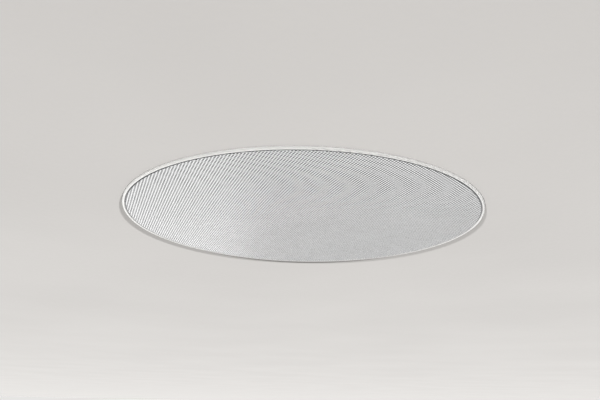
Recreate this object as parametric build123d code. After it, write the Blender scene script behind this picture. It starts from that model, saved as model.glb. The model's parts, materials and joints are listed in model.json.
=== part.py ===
from build123d import *
import math
import os

# A two-way in-ceiling loudspeaker of the 165 mm (six and a half inch) class, in millimetres.
# The origin is on the speaker's axis, in the plane of the ceiling's underside. +Z points up into
# the ceiling void, so the grille faces -Z and everything above Z = 0 passes through the cut-out.

# How far a cut runs past the face it opens, and the share of a wall that a round on it may take
cut_margin = 1.0
round_limit = 0.45

# Driving diameters, from the woofer outwards
basket_diameter = 165.0
basket_clearance = 1.9  # woofer flange to the clamp towers
tower_wall = 2.2
dog_clearance = 0.4  # around a clamp dog, in its bay
dog_width = 10.0
collar_margin = 6.0  # a tucked dog's outer side to the outside of the collar
cutout_clearance = 1.0  # collar to the edge of the hole in the ceiling
flange_overlap = 11.0  # flange beyond the edge of that hole

# Bezel ring and grille
lip_width = 1.4
lip_height = 2.4  # how far the lip stands below the ceiling
lip_round = 0.6
grille_gap = 0.9  # lip to the grille's edge
grille_thickness = 0.8
grille_recess = 0.2  # grille's face behind the lip's front
perforation_margin = 1.5
perforation_pitch = 19.0  # the sheet's staggered pattern, drawn ten times as coarse
perforation_flats = 12.7
perforation_turn = -10.2  # degrees, the rows of holes from the X axis
seat_step = 0.3  # chassis seat below the ceiling face
seat_clearance = 0.2
magnet_diameter = 6.0
magnet_clearance = 0.05
magnet_count = 8

# Chassis
foot_thickness = 2.5
foot_relief = 0.7  # foot's outside, below the ceiling face, behind the collar's
collar_wall = 3.0
collar_height = 22.0  # above the ceiling face
baffle_depth = 14.0  # baffle's front above the ceiling face
baffle_thickness = 3.0
bay_depth = 3.0  # clamp bay's floor above the ceiling face
bay_floor = 2.0
tower_roof = 3.0
tower_flank = 3.0  # wall past the tucked dog's outer side
tower_round = 0.9  # of a tower's upright corners
tower_chamfer = 0.8  # round a tower's top
roof_gap = 2.0
rib_count = 3  # stiffening ribs between two clamps
rib_start = 32.0  # degrees past a clamp
rib_step = 18.0
rib_thickness = 2.0
rib_reach = 14.0

# Clamp dogs and their screws
dog_count = 4
dog_start_angle = 37.0
thickest_ceiling = 38.0
dog_tuck_margin = 3.0  # a tucked dog's corner inside the collar's radius
dog_end_gap = 1.0
dog_hub_height = 12.0
dog_arm_height = 7.0
dog_tip_round = 2.0
dog_tooth = 0.8
dog_teeth = 3
dog_tooth_pitch = 4.0
dog_brace_length = 15.0
dog_brace_width = 3.4
dog_bore_clearance = 0.05
screw_diameter = 4.0
screw_hole_clearance = 0.3
screw_head_diameter = 7.2
screw_head_height = 2.4
screw_head_clearance = 0.4
screw_tip = 3.0  # past the tower's roof
screw_head_round = 0.33  # as a share of the head's height
drive_span = 4.4
drive_slot = 1.0
drive_depth = 1.4

# Woofer basket
basket_sheet = 1.2
basket_bend = 1.2  # inside radius where the sheet is bent
gasket_thickness = 1.0
throat_clearance = 0.8
throat_height = 4.0  # above the flange's back
window_count = 8
window_width = 22.0
window_margin = 4.0
window_round = 4.0
basket_screw_count = 6
basket_screw_diameter = 3.0
basket_screw_head = 5.0
basket_screw_margin = 0.25  # each side of a head, on the flange
basket_screw_head_height = 1.8
basket_screw_clearance = 0.3
basket_screw_bite = 0.03  # left around the shank in the baffle

# Woofer's moving parts and suspension
surround_thickness = 0.8
surround_overlap = 7.0  # glued width on the basket flange
surround_roll = 12.0  # width of the half roll
cone_land = 4.0  # glued width on the cone's rim
cone_thickness = 0.8
cone_depth = 24.0
former_wall = 0.4
coil_wall = 0.6
coil_height = 12.0
coil_clearance = 0.5  # each side of the coil in its gap
neck_height = 3.0  # cone's glued collar on the former
spider_height = 6.0  # spider above the cone's neck
spider_thickness = 0.6
spider_waves = 4
spider_amplitude = 1.2
spider_land = 6.0
spider_reach = 23.0  # from the former to the glued land
shelf_clearance = 0.8
plate_clearance = 9.0  # spider to the top plate

# Woofer's magnet
pole_diameter = 31.8
pole_bore = 8.4
plate_thickness = 6.0
plate_inset = 3.0  # plates inside the magnet's edge
ferrite_diameter = 90.0
ferrite_inset = 4.0  # ferrite's hole past the top plate's
ferrite_thickness = 18.0
cup_taper = 3.0
rear_ring_width = 9.0
plate_chamfer = 0.8  # round the plates' and the yoke's edges
ferrite_chamfer = 1.2

# Tweeter, carried on a post from the woofer's pole
post_diameter = 12.0
post_wall = 2.0
post_length = 28.0
spigot_length = 10.0
spigot_clearance = 0.2
dome_diameter = 25.4
dome_rise = 5.0
dome_thickness = 0.4
dome_margin = 0.5  # dome's edge to the face plate's throat
tweeter_wall = 2.0
tweeter_front_gap = 2.5  # pole plate to the dome's land
tweeter_magnet_thickness = 4.0
tweeter_plate_thickness = 2.5
tweeter_coil_wall = 0.4
tweeter_coil_height = 3.0
tweeter_coil_clearance = 0.4
faceplate_width = 8.0
faceplate_thickness = 4.0
faceplate_flare = 2.5
faceplate_clearance = 0.1  # skirt to the cup

# Crossover board, its components and the terminal block
block_margin = 3.0  # terminal block's face inside the collar's radius
board_thickness = 1.6
board_slot = 1.5  # board's edge in each guide post
board_edge = 4.5  # bare board beside each guide post
board_spare = 15.0  # bare board between the resistor and the capacitor
board_rim = 1.0  # bare board above the capacitor
board_clearance = 0.1
component_gap = 2.0
guide_width = 4.0
guide_wall = 2.0
guide_height = 24.0
capacitor_diameter = 13.0
capacitor_length = 26.0
inductor_diameter = 22.0
inductor_length = 11.0
inductor_core = 18.0
bobbin_bore = 9.0
bobbin_flange = 1.2
bobbin_lip = 1.0
resistor_depth = 9.0
resistor_width = 22.0
resistor_height = 9.0
lead_diameter = 0.8
lead_reach = 1.8  # straight out of a component, to the bend's middle
lead_bend = 0.9
block_wall = 2.5
block_floor = 2.0
lever_rib = 9.0  # between the two levers' wells
lever_width = 8.0
lever_depth = 6.0
lever_guide = 11.0  # length of a lever in its well
lever_clearance = 0.3
lever_travel = 3.0
lever_cap_height = 3.0
lever_cap_lip = 1.0
spring_height = 5.0
spring_strip = 0.4
spring_width = 4.0
spring_play = 0.05
wire_hole_diameter = 3.4
tag_strip_depth = 4.0
tag_strip_width = 16.0
tag_strip_height = 1.6
lug_thickness = 0.6
lug_width = 4.0
lug_spacing = 9.0
lug_clearance = 1.5  # below the top plate

# Radii that follow, from the basket outwards
basket_radius = basket_diameter / 2
tower_inside = basket_radius + basket_clearance
tower_face = tower_inside + tower_wall
dog_axis = tower_face + dog_clearance + dog_width / 2
collar_radius = dog_axis + dog_width / 2 + collar_margin
cutout_radius = collar_radius + cutout_clearance
trim_radius = cutout_radius + flange_overlap
foot_inner = dog_axis + screw_head_diameter / 2 + screw_head_clearance
magnet_circle = (foot_inner + collar_radius - foot_relief) / 2
grille_radius = trim_radius - lip_width - grille_gap

# Levels that follow, from the lip upwards
grille_front = -lip_height + grille_recess
grille_back = grille_front + grille_thickness
foot_top = foot_thickness - seat_step
bay_top = bay_depth + bay_floor
baffle_back = baffle_depth + baffle_thickness
dog_top = thickest_ceiling + dog_hub_height
roof_bottom = dog_top + roof_gap
tower_top = roof_bottom + tower_roof

# A tucked dog's length is what the collar's circle leaves it
dog_reach = math.sqrt((collar_radius - dog_tuck_margin) ** 2 - (dog_axis + dog_width / 2) ** 2)
bay_near = dog_width / 2 + dog_clearance
bay_far = dog_reach + dog_end_gap

# Woofer levels and radii that follow
flange_back = baffle_depth - gasket_thickness
flange_front = flange_back - basket_sheet
basket_flange = surround_overlap + basket_screw_head + 2 * basket_screw_margin
throat_radius = basket_radius - basket_flange
basket_screw_circle = throat_radius + surround_overlap + basket_screw_margin + basket_screw_head / 2
throat_top = flange_back + throat_height
baffle_inner = throat_radius + basket_sheet + throat_clearance
roll_inner = throat_radius - surround_roll
cone_rim = flange_front
pole_radius = pole_diameter / 2
former_inner = pole_radius + coil_clearance
former_outer = former_inner + former_wall
coil_outer = former_outer + coil_wall
gap_radius = coil_outer + coil_clearance
cone_neck = cone_rim + cone_thickness + cone_depth
spider_level = cone_neck + spider_height
spider_outer = former_outer + spider_reach + spider_land
shelf_outer = spider_outer + shelf_clearance
cup_radius = spider_outer - spider_land
shelf_level = spider_level + spider_thickness / 2
tag_axis = -(shelf_outer + cup_radius) / 2 - basket_sheet  # middle of the shelf's back
plate_front = spider_level + plate_clearance
plate_back = plate_front + plate_thickness
ferrite_radius = ferrite_diameter / 2
plate_radius = ferrite_radius - plate_inset
ferrite_back = plate_back + ferrite_thickness
yoke_back = ferrite_back + plate_thickness
coil_middle = (plate_front + plate_back) / 2

# Tweeter levels that follow, from the pole's front downwards
cup_back = plate_front - post_length
tweeter_cup_depth = tweeter_wall + tweeter_magnet_thickness + tweeter_plate_thickness + tweeter_front_gap
dome_level = cup_back - tweeter_cup_depth
dome_radius = dome_diameter / 2
tweeter_coil_outer = dome_radius - tweeter_coil_clearance
tweeter_gap_radius = tweeter_coil_outer + tweeter_coil_clearance
tweeter_cup_radius = tweeter_gap_radius + tweeter_wall
tweeter_pole_radius = tweeter_coil_outer - tweeter_coil_wall - tweeter_coil_clearance

# Crossover places that follow
bobbin_diameter = inductor_diameter + 2 * bobbin_lip
board_width = 2 * (board_slot + board_edge) + capacitor_length + component_gap + bobbin_diameter
board_height = resistor_height + board_spare + capacitor_diameter + board_rim
block_depth = lever_depth + 2 * block_wall
block_width = 2 * lever_width + lever_rib + 2 * block_wall
block_height = block_floor + spring_height + lever_guide
board_outer = collar_radius - block_margin - block_depth
board_inner = board_outer - board_thickness
board_top = baffle_back + board_height
block_top = board_top - board_rim
well_floor = block_top - block_height + block_floor
capacitor_place = -board_width / 2 + board_slot + board_edge + capacitor_length / 2
inductor_place = board_width / 2 - board_slot - board_edge - bobbin_diameter / 2
capacitor_level = board_top - board_rim - capacitor_diameter / 2
resistor_level = baffle_back + resistor_height / 2


def ring(outline):
    """The outline, (radius, level) points in order, turned about the axis."""
    points = [(radius, 0, level) for radius, level in outline]
    return revolve(make_face(Polyline(*points, close=True)), Axis.Z)


def tube(outer, inner, low, high):
    return ring([(inner, low), (outer, low), (outer, high), (inner, high)])


def rod(radius, low, high, x=0.0):
    """A cylinder parallel to the axis, at a distance from it along X."""
    return Pos(x, 0, low) * Cylinder(radius, high - low, align=(Align.CENTER, Align.CENTER, Align.MIN))


def block(x_low, x_high, y_low, y_high, z_low, z_high):
    """A box between two corners."""
    box = Box(x_high - x_low, y_high - y_low, z_high - z_low, align=(Align.MIN, Align.MIN, Align.MIN))
    return Pos(x_low, y_low, z_low) * box


def around(shape, count, start=0.0):
    """Copies of a shape, evenly spaced about the axis."""
    return [Rot(0, 0, start + 360 * i / count) * shape for i in range(count)]


def bezel_ring():
    """Flat flange against the ceiling, with the thin lip that frames the grille."""
    lip_inner = trim_radius - lip_width
    step = collar_radius + seat_clearance
    outline = [
        (foot_inner, grille_back),
        (lip_inner, grille_back),
        (lip_inner, -lip_height),
        (trim_radius, -lip_height),
        (trim_radius, 0),
        (step, 0),
        (step, -seat_step),
        (foot_inner, -seat_step),
    ]
    body = ring(outline)
    front = body.edges().filter_by(GeomType.CIRCLE).group_by(Axis.Z)[0]
    body = fillet(front, min(lip_round, round_limit * lip_width))
    pocket = rod(magnet_diameter / 2 + magnet_clearance, grille_back - cut_margin, 0, magnet_circle)
    return body - around(pocket, magnet_count)


def grille():
    """Flat steel disc with a staggered field of hexagonal holes."""
    hole_radius = perforation_flats / math.sqrt(3)
    field = grille_radius - perforation_margin - hole_radius
    row_pitch = perforation_pitch * math.sqrt(3) / 2
    rows = int(field / row_pitch)
    columns = int(field / perforation_pitch) + 1
    holes = []
    for row in range(-rows, rows + 1):
        for column in range(-columns, columns + 1):
            x = (column + row % 2 / 2) * perforation_pitch
            y = row * row_pitch
            if math.hypot(x, y) <= field:
                holes.append(Pos(x, y) * RegularPolygon(hole_radius, 6, rotation=30))
    sheet = Circle(grille_radius) - holes
    return Pos(0, 0, grille_front) * Rot(0, 0, perforation_turn) * extrude(sheet, grille_thickness)


def grille_magnets():
    magnet = rod(magnet_diameter / 2, grille_back, -seat_step, magnet_circle)
    return Compound(around(magnet, magnet_count))


def clamp_bay():
    """One clamp's bay and tower, on the +X axis: the dog lies along +Y in it, and swings out to +X."""
    near = -bay_near - tower_wall
    far = bay_far + tower_wall
    shell = block(tower_inside, trim_radius, near, far, bay_depth, baffle_back)
    tower_end = dog_axis + dog_width / 2 + tower_flank
    tower = block(tower_inside, tower_end, near, bay_near + tower_flank, bay_depth, tower_top)
    tower = fillet(tower.edges().filter_by(Axis.Z), min(tower_round, round_limit * tower_wall))
    tower = chamfer(tower.edges().group_by(Axis.Z)[-1], min(tower_chamfer, round_limit * tower_roof))
    return (shell + tower) & rod(collar_radius, bay_depth, tower_top)


def clamp_room():
    """What is cut away for one dog and its screw, on the +X axis."""
    room = block(tower_face, trim_radius, -bay_near, bay_far, bay_top, roof_bottom)
    return room + rod(screw_diameter / 2 + screw_hole_clearance, 0, tower_top + cut_margin, dog_axis)


def basket_screw_hole(clearance):
    """Hole for one basket screw, through the flange, the gasket and the baffle."""
    radius = basket_screw_diameter / 2 + clearance
    return rod(radius, flange_front - cut_margin, baffle_back + cut_margin, basket_screw_circle)


def stiffening_rib(angle):
    """Gusset between the collar and the baffle's back."""
    collar_middle = collar_radius - collar_wall / 2
    collar_inner = collar_radius - collar_wall
    baffle_middle = baffle_depth + baffle_thickness / 2
    outline = [
        (collar_middle, baffle_middle),
        (collar_middle, collar_height),
        (collar_inner, collar_height),
        (collar_inner - rib_reach, baffle_back),
        (collar_inner - rib_reach, baffle_middle),
    ]
    points = [(radius, 0, level) for radius, level in outline]
    gusset = extrude(make_face(Polyline(*points, close=True)), rib_thickness / 2, both=True)
    return Rot(0, 0, angle) * gusset


def rib_angles():
    """Three ribs between each two clamps, apart from where the crossover board stands."""
    clamp_angles = [dog_start_angle + 360 * i / dog_count for i in range(dog_count - 1)]
    return [clamp + rib_start + rib_step * i for clamp in clamp_angles for i in range(rib_count)]


def board_guides():
    """Two slotted posts on the baffle's back that hold the crossover board by its edges."""
    slot = block(
        board_inner - board_clearance,
        board_outer + board_clearance,
        -board_width / 2 - board_clearance,
        board_width / 2 + board_clearance,
        baffle_back,
        board_top,
    )
    low = board_width / 2 - board_slot
    guide_top = baffle_back + guide_height
    post = block(
        board_inner - guide_wall, board_outer + guide_wall, low, low + guide_width, baffle_depth, guide_top
    )
    return post + mirror(post, Plane.XZ) - slot


def chassis():
    """Moulded body: foot, collar through the ceiling, ribbed baffle, clamp towers and board guides."""
    foot_outer = collar_radius - foot_relief
    collar_inner = collar_radius - collar_wall
    outline = [
        (foot_inner, -seat_step),
        (foot_outer, -seat_step),
        (foot_outer, 0),
        (collar_radius, 0),
        (collar_radius, collar_height),
        (collar_inner, collar_height),
        (collar_inner, baffle_back),
        (baffle_inner, baffle_back),
        (baffle_inner, baffle_depth),
        (collar_inner, baffle_depth),
        (collar_inner, foot_top),
        (foot_inner, foot_top),
    ]
    body = ring(outline) + around(clamp_bay(), dog_count, dog_start_angle)
    body += [stiffening_rib(angle) for angle in rib_angles()]
    body -= around(clamp_room(), dog_count, dog_start_angle)
    body -= around(basket_screw_hole(basket_screw_bite), basket_screw_count)
    return body + board_guides()


def pan_head(diameter, height, seat, x):
    """Screw head below its seat, its front edge rounded."""
    head = rod(diameter / 2, seat - height, seat, x)
    return fillet(head.edges().group_by(Axis.Z)[0], screw_head_round * height)


def dog_screw():
    """Pan-head clamp screw on the +X axis, its cross recess under the bay's floor."""
    head = pan_head(screw_head_diameter, screw_head_height, bay_depth, dog_axis)
    drive = extrude(Rectangle(drive_span, drive_slot) + Rectangle(drive_slot, drive_span), drive_depth)
    head -= Pos(dog_axis, 0, bay_depth - screw_head_height) * drive
    return head + rod(screw_diameter / 2, bay_depth, tower_top + screw_tip, dog_axis)


def mounting_dog():
    """Clamp arm on its screw, tucked along +Y, with grip teeth under its end."""
    half = dog_width / 2
    arm = block(-half, half, 0, dog_reach, 0, dog_arm_height)
    arm = fillet(arm.edges().filter_by(Axis.Z).group_by(Axis.Y)[-1], dog_tip_round)
    hub = rod(half, 0, dog_hub_height)
    brace_points = [(0, 0, dog_hub_height), (0, dog_brace_length, dog_arm_height), (0, 0, dog_arm_height)]
    brace = extrude(make_face(Polyline(*brace_points, close=True)), dog_brace_width / 2, both=True)
    body = arm + hub + brace
    for i in range(dog_teeth):
        y = dog_reach - dog_tip_round - dog_tooth_pitch * (i + 0.5)
        points = [(0, y - dog_tooth, 0), (0, y, -dog_tooth), (0, y + dog_tooth, 0)]
        body += extrude(make_face(Polyline(*points, close=True)), half - dog_tip_round, both=True)
    body -= rod(screw_diameter / 2 + dog_bore_clearance, -cut_margin, dog_hub_height + cut_margin)
    return Pos(dog_axis, 0, thickest_ceiling) * body


def woofer_gasket():
    ring_body = tube(basket_radius, baffle_inner, flange_back, baffle_depth)
    return ring_body - around(basket_screw_hole(basket_screw_clearance), basket_screw_count)


def woofer_basket():
    """Pressed steel: flange, windowed cone, spider shelf, cup and the ring riveted to the top plate."""
    cup_rear = cup_radius - cup_taper
    ring_inner = cup_rear - rear_ring_width
    ring_front = plate_front - basket_sheet
    outline = [
        (basket_radius, flange_front),
        (basket_radius, flange_back),
        (throat_radius + basket_sheet, flange_back),
        (throat_radius + basket_sheet, throat_top),
        (shelf_outer + basket_sheet, shelf_level + basket_sheet),
        (cup_radius + basket_sheet, shelf_level + basket_sheet),
        (cup_rear + basket_sheet, plate_front),
        (ring_inner, plate_front),
        (ring_inner, ring_front),
        (cup_rear, ring_front),
        (cup_radius, shelf_level),
        (shelf_outer, shelf_level),
        (throat_radius, throat_top),
        (throat_radius, flange_front),
    ]
    section = make_face(Polyline(*[(radius, 0, level) for radius, level in outline], close=True))
    inside = min(basket_bend, round_limit * cup_taper)
    bends = [
        (throat_radius, throat_top, inside),
        (throat_radius + basket_sheet, throat_top, inside + basket_sheet),
        (shelf_outer, shelf_level, inside),
        (shelf_outer + basket_sheet, shelf_level + basket_sheet, inside + basket_sheet),
        (cup_radius, shelf_level, inside + basket_sheet),
        (cup_radius + basket_sheet, shelf_level + basket_sheet, inside),
        (cup_rear, ring_front, inside),
        (cup_rear + basket_sheet, plate_front, inside + basket_sheet),
    ]
    for radius, level, bend in bends:
        section = fillet(section.vertices().sort_by_distance((radius, 0, level))[0], bend)
    low = throat_top + window_margin
    high = shelf_level - window_margin
    corner = min(window_round, round_limit * (high - low), round_limit * window_width)
    opening = RectangleRounded(window_width, high - low, corner)
    window_plane = Plane((0, 0, (low + high) / 2), x_dir=(0, 1, 0), z_dir=(1, 0, 0))
    window = extrude(window_plane * opening, basket_radius)
    body = revolve(section, Axis.Z) - around(window, window_count, 180 / window_count)
    return body - around(basket_screw_hole(basket_screw_clearance), basket_screw_count)


def basket_screws():
    screw = pan_head(basket_screw_head, basket_screw_head_height, flange_front, basket_screw_circle)
    screw += rod(basket_screw_diameter / 2, flange_front, baffle_back, basket_screw_circle)
    return Compound(around(screw, basket_screw_count))


def woofer_surround():
    """Rubber half roll with a glued land each side."""
    land_low = flange_front - surround_thickness
    roll_middle = (throat_radius + roll_inner) / 2
    outer_roll = surround_roll / 2
    inner_roll = outer_roll - surround_thickness
    crown = land_low - outer_roll
    inner_crown = land_low - inner_roll
    lines = [
        Polyline(
            (throat_radius, 0, land_low),
            (throat_radius + surround_overlap, 0, land_low),
            (throat_radius + surround_overlap, 0, flange_front),
            (throat_radius - surround_thickness, 0, flange_front),
            (throat_radius - surround_thickness, 0, land_low),
        ),
        ThreePointArc(
            (throat_radius - surround_thickness, 0, land_low),
            (roll_middle, 0, inner_crown),
            (roll_inner + surround_thickness, 0, land_low),
        ),
        Polyline(
            (roll_inner + surround_thickness, 0, land_low),
            (roll_inner + surround_thickness, 0, flange_front),
            (roll_inner - cone_land, 0, flange_front),
            (roll_inner - cone_land, 0, land_low),
            (roll_inner, 0, land_low),
        ),
        ThreePointArc((roll_inner, 0, land_low), (roll_middle, 0, crown), (throat_radius, 0, land_low)),
    ]
    return revolve(make_face(Curve() + lines), Axis.Z)


def woofer_cone():
    """Straight-sided cone with a flat rim for the surround and a short collar on the former."""
    land = roll_inner - cone_land
    outline = [
        (roll_inner, cone_rim),
        (roll_inner, cone_rim + cone_thickness),
        (land, cone_rim + cone_thickness),
        (former_outer + cone_thickness, cone_neck),
        (former_outer + cone_thickness, cone_neck + neck_height),
        (former_outer, cone_neck + neck_height),
        (former_outer, cone_neck - cone_thickness),
        (land, cone_rim),
    ]
    return ring(outline)


def woofer_spider():
    """Corrugated cloth disc from the former to the basket's shelf."""
    start = former_outer
    step = spider_reach / (2 * spider_waves)
    wave = [(start + i * step, spider_amplitude * (-1) ** i) for i in range(1, 2 * spider_waves)]
    line = [(start, 0)] + wave + [(start + spider_reach, 0), (spider_outer, 0)]
    half = spider_thickness / 2
    under = [(radius, spider_level + offset - half) for radius, offset in line]
    over = [(radius, spider_level + offset + half) for radius, offset in line]
    return ring(under + over[::-1])


def voice_coil_former():
    return tube(former_outer, former_inner, cone_neck - cone_thickness, coil_middle + coil_height / 2)


def voice_coil():
    return tube(coil_outer, former_outer, coil_middle - coil_height / 2, coil_middle + coil_height / 2)


def chamfered_tube(outer, inner, low, high, edge):
    """A tube with its two outer edges taken off."""
    outline = [
        (inner, low),
        (outer - edge, low),
        (outer, low + edge),
        (outer, high - edge),
        (outer - edge, high),
        (inner, high),
    ]
    return ring(outline)


def top_plate():
    return chamfered_tube(plate_radius, gap_radius, plate_front, plate_back, plate_chamfer)


def ferrite_magnet():
    inner = gap_radius + ferrite_inset
    return chamfered_tube(ferrite_radius, inner, plate_back, ferrite_back, ferrite_chamfer)


def pole_yoke():
    """Back plate and pole, turned as one piece, bored for the tweeter's post."""
    outline = [
        (pole_bore / 2, plate_front),
        (pole_radius, plate_front),
        (pole_radius, ferrite_back),
        (plate_radius, ferrite_back),
        (plate_radius, yoke_back - plate_chamfer),
        (plate_radius - plate_chamfer, yoke_back),
        (pole_bore / 2 + plate_chamfer, yoke_back),
        (pole_bore / 2, yoke_back - plate_chamfer),
    ]
    return ring(outline)


def tweeter_post():
    """Tube on the pole's front, with a spigot in the pole's bore."""
    spigot = pole_bore / 2 - spigot_clearance
    bore = spigot - post_wall
    outline = [
        (bore, cup_back),
        (post_diameter / 2, cup_back),
        (post_diameter / 2, plate_front),
        (spigot, plate_front),
        (spigot, plate_front + spigot_length),
        (bore, plate_front + spigot_length),
    ]
    return ring(outline)


def tweeter_cup():
    outline = [
        (0, cup_back),
        (tweeter_cup_radius, cup_back),
        (tweeter_cup_radius, dome_level),
        (tweeter_gap_radius, dome_level),
        (tweeter_gap_radius, cup_back - tweeter_wall),
        (0, cup_back - tweeter_wall),
    ]
    return ring(outline)


def tweeter_magnet():
    floor = cup_back - tweeter_wall
    return rod(tweeter_pole_radius, floor - tweeter_magnet_thickness, floor)


def tweeter_pole_plate():
    floor = cup_back - tweeter_wall - tweeter_magnet_thickness
    return rod(tweeter_pole_radius, floor - tweeter_plate_thickness, floor)


def tweeter_coil():
    inner = tweeter_coil_outer - tweeter_coil_wall
    return tube(tweeter_coil_outer, inner, dome_level, dome_level + tweeter_coil_height)


def dome_cap(radius, rise, level):
    """Section of a dome that stands down from its level."""
    sphere = (radius**2 + rise**2) / (2 * rise)
    half = math.asin(radius / sphere) / 2
    middle = (sphere * math.sin(half), 0, level - rise + sphere * (1 - math.cos(half)))
    return ThreePointArc((radius, 0, level), middle, (0, 0, level - rise))


def tweeter_dome():
    """Silk dome and its glued land, pressed as one piece."""
    land = tweeter_cup_radius
    low = dome_level - dome_thickness
    inside = dome_cap(dome_radius - dome_thickness, dome_rise, dome_level)
    outside = dome_cap(dome_radius, dome_rise, low)
    lines = [
        outside,
        Line((0, 0, low - dome_rise), (0, 0, dome_level - dome_rise)),
        inside,
        Polyline(
            (dome_radius - dome_thickness, 0, dome_level),
            (land, 0, dome_level),
            (land, 0, low),
            (dome_radius, 0, low),
        ),
    ]
    return revolve(make_face(Curve() + lines), Axis.Z)


def tweeter_faceplate():
    """Flared ring over the dome's land, with a skirt round the cup."""
    low = dome_level - dome_thickness
    front = low - faceplate_thickness
    outer = tweeter_cup_radius + faceplate_width
    skirt_inner = tweeter_cup_radius + faceplate_clearance
    skirt = skirt_inner + tweeter_wall
    outline = [
        (dome_radius + dome_margin, low),
        (dome_radius + dome_margin + faceplate_flare, front),
        (outer, front),
        (outer, front + tweeter_wall),
        (skirt, low + tweeter_wall),
        (skirt, cup_back - tweeter_wall),
        (skirt_inner, cup_back - tweeter_wall),
        (skirt_inner, low),
    ]
    return ring(outline)


def crossover_board():
    return block(board_inner, board_outer, -board_width / 2, board_width / 2, baffle_back, board_top)


def crossover_capacitor():
    """Film capacitor lying along the board's inner face."""
    body = Cylinder(capacitor_diameter / 2, capacitor_length, rotation=(90, 0, 0))
    return Pos(board_inner - capacitor_diameter / 2, capacitor_place, capacitor_level) * body


def inductor_plane():
    """On the board's inner face, with the coil's axis square to it."""
    level = baffle_back + board_height / 2
    return Plane((board_inner, inductor_place, level), x_dir=(0, 1, 0), z_dir=(-1, 0, 0))


def inductor_coil():
    profile = Circle(inductor_diameter / 2) - Circle(inductor_core / 2)
    return inductor_plane().offset(bobbin_flange) * extrude(profile, inductor_length - 2 * bobbin_flange)


def inductor_bobbin():
    flange = extrude(Circle(bobbin_diameter / 2) - Circle(bobbin_bore / 2), bobbin_flange)
    core = extrude(Circle(inductor_core / 2) - Circle(bobbin_bore / 2), inductor_length)
    return inductor_plane() * (flange + core + Pos(0, 0, inductor_length - bobbin_flange) * flange)


def crossover_resistor():
    """Ceramic block resistor under the capacitor, standing on the baffle."""
    low = capacitor_place - resistor_width / 2
    high = low + resistor_width
    top = baffle_back + resistor_height
    return block(board_inner - resistor_depth, board_inner, low, high, baffle_back, top)


def bent_lead(depth, face, side, level):
    """Component lead: out along Y from the component's end face, then square to the board."""
    turn = face + side * lead_reach
    axis = board_inner - depth
    start = (axis, face, level)
    path = FilletPolyline(start, (axis, turn, level), (board_inner, turn, level), radius=lead_bend)
    return sweep(Plane(start, z_dir=(0, side, 0)) * Circle(lead_diameter / 2), path)


def component_leads():
    """Tinned leads of the capacitor and the resistor, bent down to the board."""
    leads = []
    for side in (1, -1):
        capacitor_end = capacitor_place + side * capacitor_length / 2
        resistor_end = capacitor_place + side * resistor_width / 2
        leads.append(bent_lead(capacitor_diameter / 2, capacitor_end, side, capacitor_level))
        leads.append(bent_lead(resistor_depth / 2, resistor_end, side, resistor_level))
    return Compound(leads)


def lever_place(side):
    """Middle of one lever: side is 1 for the red one and -1 for the black one."""
    return Pos(board_outer + block_depth / 2, side * (lever_width + lever_rib) / 2, 0)


def terminal_block():
    """Push terminal body: a well for each lever from above, and a wire hole into it from outside."""
    half = block_width / 2
    body = block(board_outer, board_outer + block_depth, -half, half, block_top - block_height, block_top)
    depth = lever_depth / 2
    width = lever_width / 2
    well = block(-depth, depth, -width, width, well_floor, block_top + cut_margin)
    wire = extrude(Plane.YZ * Circle(wire_hole_diameter / 2), block_depth)
    cut = well + Pos(0, 0, well_floor + spring_height / 2) * wire
    for side in (1, -1):
        body -= lever_place(side) * cut
    return body


def terminal_lever(side):
    """Lever with its cap above the block: it presses down by its travel."""
    depth = lever_depth / 2 - lever_clearance
    width = lever_width / 2 - lever_clearance
    cap_low = block_top + lever_travel + lever_clearance
    stem = block(-depth, depth, -width, width, well_floor + spring_height + spring_play, cap_low)
    lip = lever_cap_lip
    cap = block(-depth - lip, depth + lip, -width - lip, width + lip, cap_low, cap_low + lever_cap_height)
    cap = fillet(cap.edges().group_by(Axis.Z)[-1], lip)
    return lever_place(side) * (stem + cap)


def contact_spring(side):
    """Bent strip in the bottom of a well that pushes the lever up and grips the wire."""
    half = lever_width / 2 - lever_clearance
    strip = spring_strip
    high = well_floor + spring_height
    points = [
        (0, -half, well_floor),
        (0, half, well_floor),
        (0, half, well_floor + strip),
        (0, -half + 2 * strip, well_floor + strip),
        (0, half - strip, high),
        (0, half - 2 * strip, high),
        (0, -half, well_floor + strip),
    ]
    strip_face = make_face(Polyline(*points, close=True))
    return lever_place(side) * extrude(strip_face, spring_width / 2, both=True)


def tag_strip():
    """Insulating strip on the back of the basket's shelf, opposite the crossover board."""
    low = shelf_level + basket_sheet
    depth = tag_strip_depth / 2
    width = tag_strip_width / 2
    return block(tag_axis - depth, tag_axis + depth, -width, width, low, low + tag_strip_height)


def solder_lugs():
    low = shelf_level + basket_sheet + tag_strip_height
    thickness = lug_thickness / 2
    width = lug_width / 2
    high = plate_front - lug_clearance
    lug = block(tag_axis - thickness, tag_axis + thickness, -width, width, low, high)
    return Compound([Pos(0, side * lug_spacing / 2, 0) * lug for side in (1, -1)])


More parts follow.
